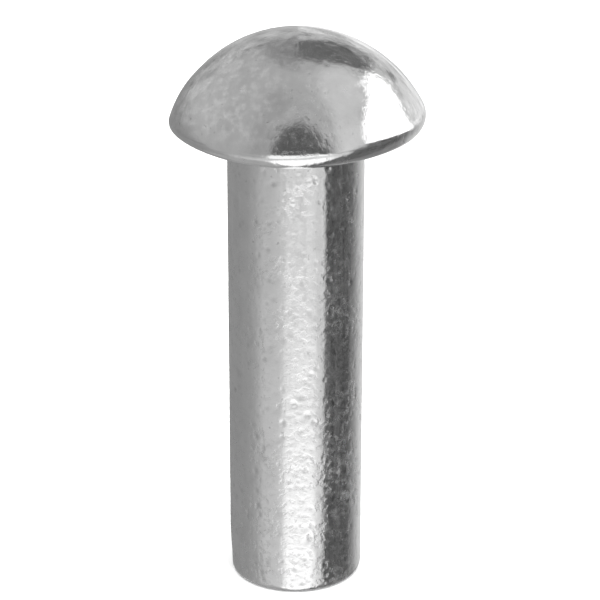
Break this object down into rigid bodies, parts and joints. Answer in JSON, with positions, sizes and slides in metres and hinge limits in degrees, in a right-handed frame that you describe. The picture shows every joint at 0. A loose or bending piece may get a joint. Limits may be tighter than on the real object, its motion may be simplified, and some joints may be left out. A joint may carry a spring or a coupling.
{
  "type": "rivet",
  "caption": "Unset solid rivet: a plain round shank under a domed round head, headed from one piece of metal, for joining plates through a hole.",
  "frame": {"origin": "on the axis, in the plane of the head's flat underside, where the head seats on the plate that it holds", "axes": "+Z along the axis from the tail to the top of the dome, so the rivet stands on its tail; X and Y are free by symmetry, and the picture looks along +Y"},
  "size_m": [0.0118, 0.0118, 0.0268],
  "materials": {
    "metal": "bright, tumbled, with fine pits along the shank"
  },
  "bodies": {
    "root": {"rivet": "metal"}
  },
  "joints": []
}
